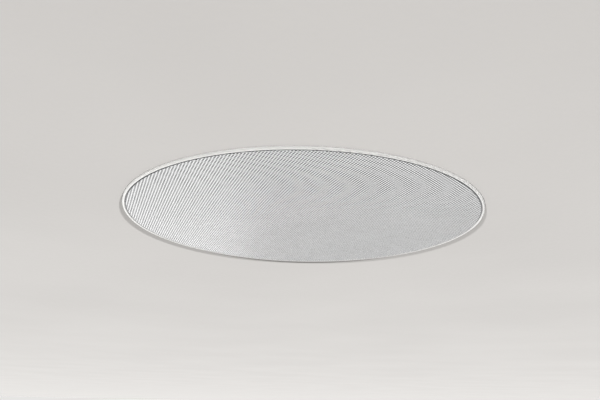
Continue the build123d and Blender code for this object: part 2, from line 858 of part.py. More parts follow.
pieces = {
    "bezel_ring": bezel_ring(),
    "grille": grille(),
    "grille_magnets": grille_magnets(),
    "chassis": chassis(),
    "woofer_gasket": woofer_gasket(),
    "woofer_basket": woofer_basket(),
    "basket_screws": basket_screws(),
    "woofer_surround": woofer_surround(),
    "woofer_cone": woofer_cone(),
    "woofer_spider": woofer_spider(),
    "voice_coil_former": voice_coil_former(),
    "voice_coil": voice_coil(),
    "top_plate": top_plate(),
    "ferrite_magnet": ferrite_magnet(),
    "pole_yoke": pole_yoke(),
    "tweeter_post": tweeter_post(),
    "tweeter_cup": tweeter_cup(),
    "tweeter_magnet": tweeter_magnet(),
    "tweeter_pole_plate": tweeter_pole_plate(),
    "tweeter_coil": tweeter_coil(),
    "tweeter_dome": tweeter_dome(),
    "tweeter_faceplate": tweeter_faceplate(),
    "crossover_board": crossover_board(),
    "crossover_capacitor": crossover_capacitor(),
    "inductor_coil": inductor_coil(),
    "inductor_bobbin": inductor_bobbin(),
    "crossover_resistor": crossover_resistor(),
    "component_leads": component_leads(),
    "terminal_block": terminal_block(),
    "terminal_lever_red": terminal_lever(1),
    "terminal_lever_black": terminal_lever(-1),
    "contact_spring_red": contact_spring(1),
    "contact_spring_black": contact_spring(-1),
    "tag_strip": tag_strip(),
    "solder_lugs": solder_lugs(),
}
for number, screw in enumerate(around(dog_screw(), dog_count, dog_start_angle), 1):
    pieces[f"dog_screw_{number}"] = screw
for number, dog in enumerate(around(mounting_dog(), dog_count, dog_start_angle), 1):
    pieces[f"mounting_dog_{number}"] = dog

os.makedirs("parts", exist_ok=True)
for name, piece in pieces.items():
    export_step(piece, f"parts/{name}.step")
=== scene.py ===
"""Looks of a round two-way in-ceiling loudspeaker: perforated grille, thin bezel, drivers and clamps.

The ceiling's underside is the plane z = 0, and the grille faces down. Sizes are in millimetres,
turned to metres by MM where they meet a mesh. Lamps are placed in metres.
"""
import json
import math

import bmesh
import bpy
from bmesh.types import BMEdge, BMFace, BMVert
from mathutils import Matrix, Vector
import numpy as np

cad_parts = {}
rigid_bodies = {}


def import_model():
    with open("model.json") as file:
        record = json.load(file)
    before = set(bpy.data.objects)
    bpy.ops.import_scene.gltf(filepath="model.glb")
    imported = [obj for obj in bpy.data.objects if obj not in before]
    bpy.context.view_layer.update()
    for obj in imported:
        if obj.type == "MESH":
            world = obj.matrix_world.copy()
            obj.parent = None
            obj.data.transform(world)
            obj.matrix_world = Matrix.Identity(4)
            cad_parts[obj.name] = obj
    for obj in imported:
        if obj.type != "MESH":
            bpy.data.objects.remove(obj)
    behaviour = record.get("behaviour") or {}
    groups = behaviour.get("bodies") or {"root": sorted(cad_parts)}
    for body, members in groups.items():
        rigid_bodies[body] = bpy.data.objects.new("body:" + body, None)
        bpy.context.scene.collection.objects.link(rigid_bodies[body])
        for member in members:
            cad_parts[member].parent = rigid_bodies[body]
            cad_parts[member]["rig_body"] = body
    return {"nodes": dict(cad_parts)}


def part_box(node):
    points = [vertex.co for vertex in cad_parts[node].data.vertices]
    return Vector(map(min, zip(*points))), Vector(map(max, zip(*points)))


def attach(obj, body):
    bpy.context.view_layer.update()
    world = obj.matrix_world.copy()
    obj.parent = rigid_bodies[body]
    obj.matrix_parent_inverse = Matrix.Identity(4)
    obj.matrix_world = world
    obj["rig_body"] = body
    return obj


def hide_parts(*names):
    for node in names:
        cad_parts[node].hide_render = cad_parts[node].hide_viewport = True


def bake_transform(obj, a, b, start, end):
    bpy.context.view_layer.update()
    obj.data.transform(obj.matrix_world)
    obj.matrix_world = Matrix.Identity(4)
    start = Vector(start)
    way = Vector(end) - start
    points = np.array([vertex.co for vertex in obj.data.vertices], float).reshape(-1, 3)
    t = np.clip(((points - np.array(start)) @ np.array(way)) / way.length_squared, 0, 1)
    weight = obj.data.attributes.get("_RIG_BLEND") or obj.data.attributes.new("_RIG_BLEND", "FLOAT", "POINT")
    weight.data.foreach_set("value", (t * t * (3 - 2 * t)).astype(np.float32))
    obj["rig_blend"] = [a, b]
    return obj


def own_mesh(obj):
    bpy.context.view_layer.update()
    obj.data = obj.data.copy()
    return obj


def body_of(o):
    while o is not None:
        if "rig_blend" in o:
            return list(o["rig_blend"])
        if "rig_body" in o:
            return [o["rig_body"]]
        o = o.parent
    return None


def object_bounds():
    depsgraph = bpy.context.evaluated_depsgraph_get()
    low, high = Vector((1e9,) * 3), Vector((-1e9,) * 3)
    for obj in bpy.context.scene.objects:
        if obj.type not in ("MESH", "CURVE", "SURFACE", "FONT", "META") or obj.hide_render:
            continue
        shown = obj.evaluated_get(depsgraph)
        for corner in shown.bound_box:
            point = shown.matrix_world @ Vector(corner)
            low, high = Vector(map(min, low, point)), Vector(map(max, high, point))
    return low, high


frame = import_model()
cad_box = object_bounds()
nodes = frame["nodes"]

MM = 0.001
MERGE_GAP = 0.001 * MM  # vertices closer than this are one

# Camera: below the ceiling, close to it and looking up along it
CAMERA_PLACE = (-2.2, -365.3, -116.4)
CAMERA_PITCH = 19.42  # degrees
CAMERA_ROLL = 1.30  # degrees
CAMERA_LENS = 34.76
SENSOR_WIDTH = 36.0
CAMERA_NEAR = 10.0  # nothing closer than this is drawn
CAMERA_FAR = 100000.0

# Perforated sheet of the grille
HOLE_PITCH = 1.807
HOLE_CORNER = 0.64705  # middle of a six-sided hole to its corners
HOLE_ROW_TURN = -10.24  # degrees, rows of holes from the X axis
SPARE_ROWS = 8  # beyond the disc's edge, cut off with the offcut
SECTORS = 4

# Ceiling board around the speaker
BOARD_HOLE = 104.0
BOARD_THICKNESS = 8.0
BOARD_RINGS = (140.0, 300.0, 1200.0, 8000.0, 60000.0)  # radii of its rings of faces
BOARD_FACETS = 160
PLASTER_COAT = 1.0  # on the board's underside, up to the bezel
PLASTER_GAP = 0.3
PLASTER_SHIFT = 0.22  # away from the camera, where the gap is widest

# Light: the skimming lamps, and the room's light by where it comes from
SKIM_HEIGHT = 6.0  # degrees below the ceiling
SKIM_SOFTNESS = 1.2  # degrees
LEVEL_BLEND = 0.15  # sine of the height up to which the floor's light turns to the light above
DEPTH_BLEND = 0.7  # the same along Y, from the camera's side to the far side

# Clamp screws, M4
CLAMPS = (1, 2, 3, 4)
SCREW_HEAD = 2.4
SCREW_FACETS = 24
THREAD_PITCH = 0.7
THREAD_CREST = 2.0
THREAD_CORE = 1.62
THREAD_SUNK = 0.97  # where the ridge's foot is, as a share of the core's radius
THREAD_FOOT = 0.88  # width of the ridge's foot, as a share of the pitch
THREAD_START = 0.4  # plain neck under the head
THREAD_TIP = 0.6
THREAD_FACETS = 16

# Woofer's suspension
SURROUND_WALL = 0.8
SURROUND_LAND = 7.0  # glued width on the basket's flange
CONE_LAND = 4.0  # glued width on the cone's rim
ROLL_STEPS = 24
SPIDER_WALL = 0.5
SPIDER_LAND = 6.0  # glued width on the basket's shelf
SPIDER_WAVES = 4
SPIDER_SWELL = 0.9
WAVE_STEPS = 12

# Inductor's winding
COIL_TURNS = 11
COIL_FACETS = 64
WIRE_FACETS = 10

# Crossover board's outer face
TRACK_WIDTH = 2.2
TRACK_HEIGHT = 0.06  # of the highest; they step down, so that no two faces share a plane
JOINT_RADIUS = 1.3
JOINT_TIP = 0.5
JOINT_HEIGHT = 1.1
JOINT_FACETS = 20
TAIL_SPACING = 8.0  # inductor's two joints
TAB_SHARE = 0.5  # of the terminal block's half width, from its middle to a tab

# Edges whose faces turn by less than this are shaded as one curve
CURVE_LIMIT = math.radians(32)
RIB_LIMIT = math.radians(19)  # keeps the chassis ribs crisp
FLAT_LIMIT = math.radians(1)  # faces that turn by less are one flat
FACET_LIMIT = math.radians(4)  # a turned facet's middle to its corners, about the axis
FULL_TURN = 2 * math.pi
TURN_STEPS = 144
EDGE_STEPS = 2  # across a rounded edge

# How much of a face's normal is along Z, or across it
LEVEL_FACE = 0.5  # more along Z than this is a level face, less is a wall
FLANGE_FACE = 0.9  # more is the flange's flat, without its rounded edges
ACROSS_FACE = 0.02  # less across than this is a flat end


# Nodes and colours

# Sockets of the Mix node go by number, because its names repeat
FACTOR, NUMBER_A, NUMBER_B, COLOUR_A, COLOUR_B = 0, 2, 3, 6, 7
MIXED_COLOUR = 2

# Noise values between which a surface goes from one tone, or one roughness, to the other
CLOUD_SPAN = (0.36, 0.64)
GRIT_SPAN = (0.3, 0.7)


def linear(colour):
    """An sRGB hex colour as linear red, green, blue and alpha."""
    parts = [int(colour[i:i + 2], 16) / 255 for i in (1, 3, 5)]
    return [p / 12.92 if p <= 0.04045 else ((p + 0.055) / 1.055) ** 2.4 for p in parts] + [1.0]


def add(tree, kind, inputs=None, **settings):
    """One node with its settings; an input is a value or the socket that feeds it."""
    node = tree.nodes.new("ShaderNode" + kind)
    for name, value in settings.items():
        setattr(node, name, value)
    for name, value in (inputs or {}).items():
        if isinstance(value, bpy.types.NodeSocket):
            tree.links.new(value, node.inputs[name])
        else:
            node.inputs[name].default_value = value
    return node


def per_metre(size):
    """Texture scale at which a noise cell is about this many millimetres."""
    return 1 / (size * MM)


def wave_scale(pitch):
    """Texture scale at which a wave repeats every so many millimetres; at 1 it is pi / 10 metres."""
    return math.pi / (10 * pitch * MM)


def finish(name, tones, mottle, grain, relief, gloss, wave=None, sockets=None, edge=0.0):
    """A surface of two tones in soft clouds, with a grained relief and an uneven gloss.

    mottle, grain, relief and edge, the rounding of its edges, are millimetres; gloss is the lowest
    and highest roughness. wave is (settings, pitch, depth, tone) for a regular pattern, such as
    turning marks or wound wire.
    """
    material = bpy.data.materials.new(name)
    material.use_nodes = True
    tree = material.node_tree
    tree.nodes.clear()
    place = add(tree, "TexCoord").outputs["Object"]
    clouds = add(tree, "TexNoise", {"Vector": place, "Scale": per_metre(mottle), "Detail": 4.0})
    share = add(
        tree,
        "MapRange",
        {"Value": clouds.outputs[0], "From Min": CLOUD_SPAN[0], "From Max": CLOUD_SPAN[1]},
    )
    colour = add(
        tree,
        "Mix",
        {FACTOR: share.outputs[0], COLOUR_A: linear(tones[0]), COLOUR_B: linear(tones[1])},
        data_type="RGBA",
    )
    grit = add(tree, "TexNoise", {"Vector": place, "Scale": per_metre(grain), "Detail": 2.0})
    rough = add(
        tree,
        "MapRange",
        {
            "Value": grit.outputs[0],
            "From Min": GRIT_SPAN[0],
            "From Max": GRIT_SPAN[1],
            "To Min": gloss[0],
            "To Max": gloss[1],
        },
    )
    bump = add(tree, "Bump", {"Height": grit.outputs[0], "Distance": relief * MM})
    if edge:
        tree.links.new(add(tree, "Bevel", {"Radius": edge * MM}).outputs[0], bump.inputs["Normal"])
    if wave:
        settings, pitch, depth, tone = wave
        marks = add(tree, "TexWave", {"Vector": place, "Scale": wave_scale(pitch)}, **settings)
        colour = add(
            tree,
            "Mix",
            {FACTOR: marks.outputs["Fac"], COLOUR_A: linear(tone), COLOUR_B: colour.outputs[MIXED_COLOUR]},
            data_type="RGBA",
        )
        bump = add(
            tree,
            "Bump",
            {"Height": marks.outputs["Fac"], "Distance": depth * MM, "Normal": bump.outputs[0]},
        )
    shader = add(
        tree,
        "BsdfPrincipled",
        {
            "Base Color": colour.outputs[MIXED_COLOUR],
            "Roughness": rough.outputs[0],
            "Normal": bump.outputs[0],
        },
    )
    for socket, value in (sockets or {}).items():
        shader.inputs[socket].default_value = value
    output = add(tree, "OutputMaterial", {"Surface": shader.outputs[0]})
    output.is_active_output = True
    return material


METAL = {"Metallic": 1.0}
RINGS = {"wave_type": "RINGS", "rings_direction": "Z"}
TURNS = {"wave_type": "BANDS", "bands_direction": "Z"}

# Materials, keyed by the record's slots; punched walls and grey tape, both partly painted shade, tracks and
# solder are looks beside them
finishes = {
    # Moulded white ABS: satin, with the faintest flow clouds
    "white_enamel": finish(
        "moulded white ABS", ("#EEEEED", "#F4F4F3"), 30, 0.8, 0.004, (0.34, 0.44)
    ),
    # Powder coat on perforated steel: cool white satin, with a fine orange peel
    "grille_enamel": finish(
        "white powder coat", ("#E4E5E7", "#E9EAEC"), 45, 0.5, 0.012, (0.28, 0.40)
    ),
    # Walls of the punched holes: the coat is thin there and the sheared steel greys it, and the tone is
    # darkened further as painted shade inside the holes
    "thin_coat_and_shade_wall": finish(
        "thin coat and painted shade on hole walls", ("#6E7072", "#838587"), 6, 0.3, 0.010, (0.55, 0.70)
    ),
    # Grey tape on the flange behind the grille: painted shade, dull grey so the outer holes and the gap at
    # the lip look dark like the shade behind the grille
    "shade_tape": finish("grey tape as painted shade", ("#98989A", "#A6A6A8"), 2, 0.3, 0.08, (0.90, 0.97)),
    # Bright nickel plate: warm mirror, slightly hazy
    "magnet_nickel": finish(
        "bright nickel plate", ("#C9C5BD", "#D8D5CE"), 4, 0.3, 0.002, (0.14, 0.26), sockets=METAL
    ),
    # Textured black ABS: charcoal with a spark-eroded grain
    "black_abs": finish(
        "spark-textured black ABS", ("#1F2022", "#292A2C"), 24, 0.9, 0.05, (0.50, 0.68), edge=0.5
    ),
    # Closed-cell foam: dull, open pores
    "foam": finish("black closed-cell foam", ("#262626", "#313131"), 3, 0.7, 0.15, (0.85, 0.95)),
    # Electro-coat on pressed steel: black satin, with a soft orange peel
    "black_steel": finish(
        "black electro-coated steel", ("#1B1C1E", "#242527"), 30, 1.4, 0.02, (0.30, 0.42)
    ),
    # Black oxide steel: dark, slightly oily metal
    "black_screw": finish(
        "black oxide steel", ("#3A3A3B", "#4B4B4C"), 2, 0.4, 0.01, (0.34, 0.50), sockets=METAL
    ),
    # Moulded butyl rubber: matt black with a dusty bloom
    "surround_rubber": finish(
        "butyl rubber", ("#19191A", "#232324"), 14, 0.6, 0.02, (0.58, 0.74)
    ),
    # Injected polypropylene: dark grey with fine concentric rings and a waxy sheen
    "cone_poly": finish(
        "polypropylene cone", ("#232427", "#2C2D31"), 20, 0.7, 0.01, (0.38, 0.50),
        (RINGS, 2.0, 0.08, "#1C1D20"),
    ),
    # Resin-dipped cotton: amber, with the threads showing
    "spider_cloth": finish(
        "resin-dipped cotton", ("#B98A3C", "#CC9F50"), 9, 0.5, 0.05, (0.62, 0.80),
        (RINGS, 1.1, 0.10, "#94692A"),
    ),
    # Polyimide former: amber-brown film with a soft gloss
    "former_paper": finish(
        "polyimide former", ("#7A4A22", "#8D5A2C"), 6, 0.4, 0.01, (0.30, 0.42)
    ),
    # Enamelled copper wire: close turns with dark lines between them
    "copper": finish(
        "enamelled copper wire", ("#B4642F", "#C97B42"), 5, 0.4, 0.01, (0.22, 0.34),
        (TURNS, 0.8, 0.12, "#6B3517"), METAL,
    ),
    # Turned and zinc-plated steel: bluish silver with fine turning rings, drawn coarser to show
    "plated_steel": finish(
        "turned zinc-plated steel", ("#A9ABAC", "#BFC1C1"), 16, 0.6, 0.008, (0.28, 0.40),
        (RINGS, 1.3, 0.015, "#9C9EA0"), METAL,
    ),
    # Sintered ferrite: charcoal ceramic, ground faces with pits
    "ferrite": finish(
        "sintered ferrite", ("#3A3B3D", "#4A4B4D"), 8, 0.6, 0.06, (0.44, 0.62)
    ),
    # Nickel-plated neodymium: bright and hard
    "neodymium": finish(
        "nickel-plated neodymium", ("#C6C3BC", "#D5D2CC"), 4, 0.3, 0.002, (0.16, 0.28), sockets=METAL
    ),
    # Coated silk: black, soft sheen over the weave
    "silk": finish(
        "coated silk", ("#1E1F22", "#2A2B2E"), 5, 0.4, 0.03, (0.40, 0.55), (TURNS, 0.9, 0.02, "#18191B")
    ),
    # Solder mask on glass cloth: green gloss, the cloth faintly showing
    "board": finish(
        "green solder mask", ("#1F5A36", "#276B42"), 12, 0.7, 0.012, (0.26, 0.38),
        (TURNS, 1.4, 0.003, "#1E5834"),
    ),
    # Copper tracks under the solder mask: a lighter green, slightly raised
    "track": finish("solder mask over copper", ("#2F7A4A", "#378654"), 9, 0.7, 0.012, (0.22, 0.32)),
    # Soft solder: bright grey, frosted
    "solder": finish("soft solder", ("#B4B6B8", "#C9CBCC"), 2, 0.3, 0.01, (0.24, 0.38), sockets=METAL),
    # Polyester wrap of the capacitor: yellow gloss, slightly clouded
    "capacitor_film": finish(
        "yellow polyester wrap", ("#D3A324", "#E0B236"), 7, 0.6, 0.01, (0.24, 0.36)
    ),
    # Natural nylon: milky, slightly waxy
    "bobbin": finish("natural nylon", ("#DAD5C6", "#E6E2D6"), 7, 0.6, 0.015, (0.40, 0.52)),
    # Cement-filled ceramic: chalky white with pores
    "ceramic": finish("cement-filled ceramic", ("#CFCCC2", "#DEDBD2"), 5, 0.6, 0.08, (0.72, 0.88)),
    # Moulded polyamide: black satin
    "terminal_black": finish("moulded black polyamide", ("#202122", "#2A2B2C"), 9, 0.6, 0.03, (0.40, 0.54)),
    # Moulded ABS: signal red gloss
    "lever_red": finish("moulded red ABS", ("#B3201C", "#C42A24"), 6, 0.6, 0.01, (0.26, 0.36)),
    # Moulded ABS: black gloss
    "lever_black": finish("moulded black ABS", ("#1C1C1D", "#262627"), 6, 0.6, 0.01, (0.26, 0.36)),
    # Tin-plated spring strip: soft silver
    "spring_steel": finish(
        "tin-plated spring strip", ("#B9B5AA", "#CCC8BD"), 2, 0.3, 0.004, (0.24, 0.36), sockets=METAL
    ),
    # Phenolic paper: brown, flecked
    "phenolic": finish("phenolic paper board", ("#6B4424", "#80532E"), 3, 0.4, 0.02, (0.42, 0.56)),
    # Tinned brass: pale silver-gold, dulled by solder
    "tinned_brass": finish(
        "tin-plated brass", ("#B5AC93", "#CBC3AB"), 2, 0.3, 0.006, (0.28, 0.42), sockets=METAL
    ),
    # Glass-filled nylon: black, with pale fibre flecks in the skin
    "dog_nylon": finish(
        "glass-filled nylon", ("#202123", "#303134"), 1.6, 0.5, 0.04, (0.48, 0.64)
    ),
    # Zinc-plated screw: pale yellow-silver
    "zinc_screw": finish(
        "zinc-plated steel", ("#AFABA0", "#C2BEB2"), 3, 0.4, 0.006, (0.26, 0.38), sockets=METAL
    ),
}


# Pieces

def made(result, kind):
    """The vertices, edges or faces among what a bmesh operator made."""
    return [item for item in result["geom"] if isinstance(item, kind)]


def new_object(bm, name):
    """The bmesh as an object in the scene."""
    mesh = bpy.data.meshes.new(name)
    bm.to_mesh(mesh)
    bm.free()
    obj = bpy.data.objects.new(name, mesh)
    bpy.context.scene.collection.objects.link(obj)
    return obj


def piece(bm, name, slot, body, *replaced, limit=CURVE_LIMIT, look=None):
    """The bmesh as a finished object on its body, if it has one, in the finish of its slot or look."""
    obj = new_object(bm, name)
    obj.data.shade_smooth()
    obj.data.set_sharp_from_angle(angle=limit)
    obj.data.materials.append(finishes[look or slot])
    if body:
        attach(obj, body)
    if replaced:
        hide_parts(*replaced)
    return obj


def merged_copy(node_name):
    """A CAD node's triangles as one closed mesh."""
    bm = bmesh.new()
    bm.from_mesh(nodes[node_name].data)
    bmesh.ops.remove_doubles(bm, verts=bm.verts, dist=MERGE_GAP)
    return bm


def turned_normals(mesh, limit):
    """Sets the normals of faces turned about the axis, which long thin triangles would streak."""
    normals = [corner.vector.copy() for corner in mesh.corner_normals]
    turned = []
    slopes = {}
    for face in mesh.polygons:
        across = face.normal.xy
        side = 1 if across.dot(face.center.xy) > 0 else -1
        radii = [mesh.vertices[i].co.xy for i in face.vertices]
        lean = [abs((side * across).angle_signed(radius, 0)) for radius in radii]
        if across.length > ACROSS_FACE and max(lean) > FACET_LIMIT:
            continue
        slope = Vector((side * across.length, face.normal.z))
        turned.append((face, slope))
        for i in face.vertices:
            slopes.setdefault(i, []).append((face.area, slope))
    for face, slope in turned:
        for corner in face.loop_indices:
            i = mesh.loops[corner].vertex_index
            total = Vector((0, 0))
            for area, other in slopes[i]:
                if other.dot(slope) > math.cos(limit):
                    total += area * other
            total.normalize()
            outwards = mesh.vertices[i].co.xy.normalized() * total.x
            normals[corner] = Vector((outwards.x, outwards.y, total.y))
    mesh.normals_split_custom_set(normals)


def dress_turned(slot, node_name, limit=CURVE_LIMIT):
    """Copy of a CAD node that is mainly turned about the axis, shaded as a true round."""
    body = body_of(nodes[node_name])[0]
    skin = piece(merged_copy(node_name), node_name + "_skin", slot, body, node_name, limit=limit)
    turned_normals(skin.data, limit)
    return skin


def dress(slot, *node_names, soften=0.0):
    """Smoothly shaded copies of CAD nodes, their sharp edges rounded by so many millimetres."""
    for node_name in node_names:
        bm = merged_copy(node_name)
        if soften:
            bmesh.ops.dissolve_limit(bm, angle_limit=FLAT_LIMIT, verts=bm.verts, edges=bm.edges)
            sharp = [edge for edge in bm.edges if edge.calc_face_angle(0) > CURVE_LIMIT]
            bmesh.ops.bevel(
                bm, geom=sharp, offset=soften * MM, offset_type="OFFSET", affect="EDGES",
                segments=EDGE_STEPS, profile=0.5, clamp_overlap=True, material=-1,
            )
        piece(bm, node_name + "_skin", slot, body_of(nodes[node_name])[0], node_name)


def chain(bm, points):
    """Vertices joined in a line, in the XZ plane, from (radius, level) points in millimetres."""
    verts = [bm.verts.new((radius * MM, 0, level * MM)) for radius, level in points]
    edges = [bm.edges.new(pair) for pair in zip(verts, verts[1:])]
    return verts + edges


def turned_sheet(points, thickness):
    """A thin wall of revolution about the axis, from the middle line of its section."""
    bm = bmesh.new()
    bmesh.ops.spin(
        bm, geom=chain(bm, points), cent=(0, 0, 0), axis=(0, 0, 1), angle=FULL_TURN, steps=TURN_STEPS,
        use_merge=True,
    )
    bmesh.ops.remove_doubles(bm, verts=bm.verts, dist=MERGE_GAP)
    bmesh.ops.recalc_face_normals(bm, faces=bm.faces)
    for vert in bm.verts:
        vert.co += vert.normal * thickness / 2 * MM
    bmesh.ops.solidify(bm, geom=bm.faces, thickness=thickness * MM)
    return bm


def stretch_with_cone(obj, still, moving):
    """The piece stays with the basket at one radius and goes with the cone at the other."""
    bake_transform(obj, "speaker", "cone_assembly", start=(still * MM, 0, 0), end=(moving * MM, 0, 0))
    # The share of the cone's travel, with a smooth start and end
    weights = obj.data.attributes["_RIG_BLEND"].data
    for vert, weight in zip(obj.data.vertices, weights):
        reach = (still - vert.co.xy.length / MM) / (still - moving)
        reach = min(max(reach, 0.0), 1.0)
        weight.value = reach * reach * (3 - 2 * reach)


def grille_sheet():
    """Steel disc cut from a sheet with a staggered field of small holes, in sectors."""
    low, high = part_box("grille")
    radius = (high.y - low.y) / 2
    thickness = high.z - low.z
    pitch = HOLE_PITCH * MM
    count = 2 * math.ceil(radius / pitch / math.cos(math.pi / 6)) + SPARE_ROWS
    stagger = Matrix(((1, 0.5, 0, 0), (0, math.sin(math.pi / 3), 0, 0), (0, 0, 1, 0), (0, 0, 0, 1)))
    turn = Matrix.Rotation(math.radians(HOLE_ROW_TURN), 4, "Z")
    lift = Matrix.Translation((0, 0, high.z))
    bm = bmesh.new()
    bmesh.ops.create_grid(
        bm, x_segments=count, y_segments=count, size=count * pitch / 2, matrix=lift @ turn @ stagger
    )
    bmesh.ops.triangulate(bm, faces=bm.faces, quad_method="SHORT_EDGE")
    centres = [vert for vert in bm.verts if vert.co.xy.length < radius + pitch]
    kept = set(centres)
    spare = [face for face in bm.faces if kept.isdisjoint(face.verts)]
    bmesh.ops.delete(bm, geom=spare, context="FACES")
    cut = bmesh.ops.bevel(
        bm, geom=centres, offset=HOLE_CORNER * MM, offset_type="OFFSET", affect="VERTICES", segments=1,
        profile=0.5, material=-1,
    )
    bmesh.ops.delete(bm, geom=cut["faces"], context="FACES_ONLY")
    beyond = {vert for vert in bm.verts if vert.co.xy.length > radius}
    offcut = [face for face in bm.faces if beyond.issuperset(face.verts)]
    for vert in beyond:
        vert.co.xy *= radius / vert.co.xy.length
    bmesh.ops.delete(bm, geom=offcut, context="FACES")
    for sector in range(SECTORS):
        part = bm.copy()
        other = []
        for face in part.faces:
            middle = face.calc_center_median()
            turns = math.atan2(middle.y, middle.x) / FULL_TURN
            if int((turns + 1) * SECTORS) % SECTORS != sector:
                other.append(face)
        bmesh.ops.delete(part, geom=other, context="FACES")
        front = made(bmesh.ops.extrude_face_region(part, geom=part.faces[:]), BMVert)
        bmesh.ops.translate(part, verts=front, vec=(0, 0, -thickness))
        bmesh.ops.recalc_face_normals(part, faces=part.faces)
        for face in part.faces:
            # Hole walls take the darker finish: thin coat, and painted shade inside the holes
            face.material_index = int(abs(face.normal.z) < LEVEL_FACE)
        sheet = piece(part, f"grille_sheet_{sector + 1}", "grille_enamel", "speaker", "grille")
        sheet.data.materials.append(finishes["thin_coat_and_shade_wall"])
    bm.free()


def bezel():
    """White bezel ring, with grey tape on its flange behind the grille as painted shade."""
    skin = dress_turned("white_enamel", "bezel_ring").data
    skin.materials.append(finishes["shade_tape"])
    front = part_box("grille")[0].z
    for face in skin.polygons:
        # The flange's flat behind the grille takes the grey tape, painted shade seen through the holes
        face.material_index = int(face.normal.z < -FLANGE_FACE and face.center.z > front)


def surround():
    """Rubber half roll between the basket's flange and the cone's rim, with a glued land each side."""
    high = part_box("woofer_surround")[1]
    outer = high.x / MM
    throat = outer - SURROUND_LAND
    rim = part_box("woofer_cone")[1].x / MM
    land = high.z / MM - SURROUND_WALL / 2
    roll = (throat - rim - SURROUND_WALL) / 2
    points = [(outer, land)]
    for i in range(ROLL_STEPS + 1):
        angle = math.pi * i / ROLL_STEPS
        points.append(((throat + rim) / 2 + roll * math.cos(angle), land - roll * math.sin(angle)))
    points.append((rim - CONE_LAND, land))
    bm = turned_sheet(points, SURROUND_WALL)
    obj = piece(bm, "surround_roll", "surround_rubber", None, "woofer_surround")
    stretch_with_cone(obj, throat, rim)


def spider():
    """Corrugated cloth ring that centres the voice coil."""
    low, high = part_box("woofer_spider")
    level = (low.z + high.z) / 2 / MM
    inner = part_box("voice_coil_former")[1].x / MM + SPIDER_WALL / 2
    land = high.x / MM - SPIDER_LAND
    steps = SPIDER_WAVES * WAVE_STEPS
    points = []
    for i in range(steps + 1):
        wave = SPIDER_SWELL * math.sin(FULL_TURN * i / WAVE_STEPS)
        points.append((inner + (land - inner) * i / steps, level - wave))
    points.append((high.x / MM, level))
    bm = turned_sheet(points, SPIDER_WALL)
    obj = piece(bm, "spider_cloth", "spider_cloth", None, "woofer_spider")
    stretch_with_cone(obj, land, inner + SPIDER_WALL)


def clamp_screws():
    """Four pan-head screws with their threads: the CAD head, a core and a wound ridge."""
    low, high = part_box("dog_screw_1")
    axis = Vector(((low.x + high.x) / 2, (low.y + high.y) / 2, 0))
    seat = low.z + SCREW_HEAD * MM
    bm = merged_copy("dog_screw_1")
    bmesh.ops.bisect_plane(
        bm, geom=bm.verts[:] + bm.edges[:] + bm.faces[:], plane_co=(0, 0, seat + THREAD_START / 2 * MM),
        plane_no=(0, 0, 1), clear_outer=True,
    )
    bmesh.ops.holes_fill(bm, edges=bm.edges, sides=0)
    crest = THREAD_CREST * MM
    core = THREAD_CORE * MM
    pitch = THREAD_PITCH * MM
    tip = THREAD_TIP * MM
    length = high.z - seat
    bmesh.ops.create_cone(
        bm, cap_ends=True, segments=SCREW_FACETS, radius1=core, radius2=core, depth=length - tip,
        matrix=Matrix.Translation(axis + Vector((0, 0, seat + (length - tip) / 2))),
    )
    bmesh.ops.create_cone(
        bm, cap_ends=True, segments=SCREW_FACETS, radius1=core, radius2=core / 2, depth=tip,
        matrix=Matrix.Translation(axis + Vector((0, 0, high.z - tip / 2))),
    )
    # The ridge's foot is sunk a little into the core
    start = seat + THREAD_START * MM
    width = THREAD_FOOT * pitch
    foot = THREAD_SUNK * core
    ridge = bmesh.new()
    section = ridge.faces.new(
        [
            ridge.verts.new(axis + Vector((foot, 0, start))),
            ridge.verts.new(axis + Vector((crest, 0, start + width / 2))),
            ridge.verts.new(axis + Vector((foot, 0, start + width))),
        ]
    )
    turns = int((high.z - tip - start) / pitch)
    bmesh.ops.spin(
        ridge, geom=[section], cent=axis, axis=(0, 0, 1), dvec=(0, 0, pitch / THREAD_FACETS),
        angle=FULL_TURN * turns, steps=THREAD_FACETS * turns,
    )
    wound = bpy.data.meshes.new("thread_ridge")
    ridge.to_mesh(wound)
    ridge.free()
    bm.from_mesh(wound)
    bpy.data.meshes.remove(wound)
    bmesh.ops.recalc_face_normals(bm, faces=bm.faces)
    for number in CLAMPS:
        screw = bm.copy()
        turn = Matrix.Rotation(FULL_TURN / len(CLAMPS) * (number - 1), 3, "Z")
        bmesh.ops.rotate(screw, verts=screw.verts, cent=(0, 0, 0), matrix=turn)
        piece(screw, f"threaded_screw_{number}", "zinc_screw", f"screw_{number}", f"dog_screw_{number}")
    bm.free()


